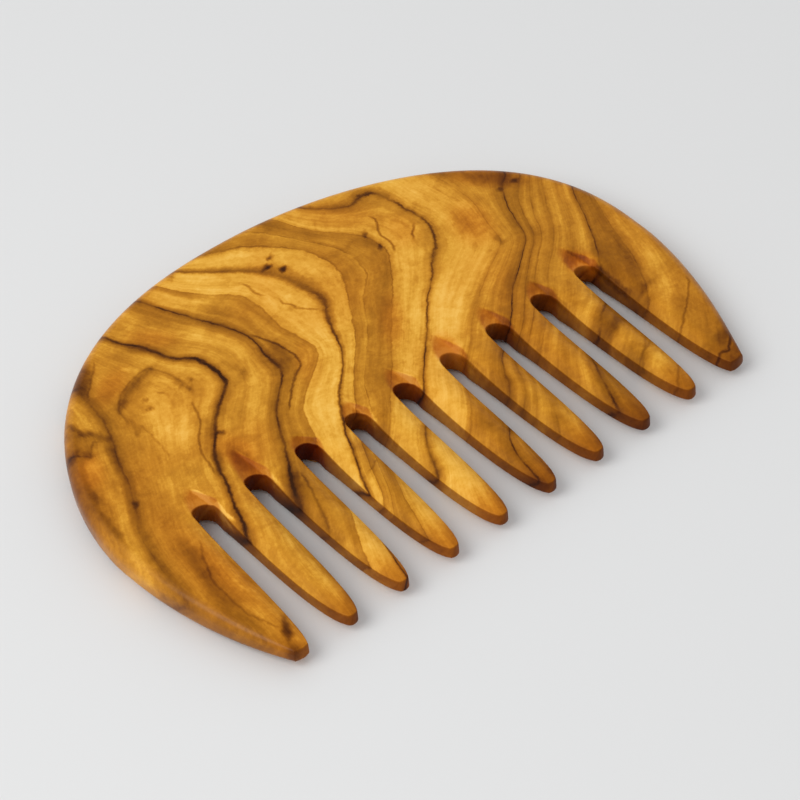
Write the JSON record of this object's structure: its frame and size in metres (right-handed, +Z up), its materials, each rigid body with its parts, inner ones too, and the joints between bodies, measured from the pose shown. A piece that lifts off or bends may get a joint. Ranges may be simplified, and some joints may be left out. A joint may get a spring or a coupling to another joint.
{
  "type": "hair comb",
  "caption": "Pocket-size wide-tooth hair comb with a rounded half-moon back, cut from one board of olive wood.",
  "frame": {"origin": "middle of the comb's outline, on the plane its underside rests on", "axes": "+X along the row of teeth, +Y from the tooth tips towards the back, +Z up through the board"},
  "size_m": [0.144, 0.1066, 0.0076],
  "materials": {
    "olive_wood": "satin oil"
  },
  "bodies": {
    "root": {"comb": "olive_wood"}
  },
  "joints": []
}
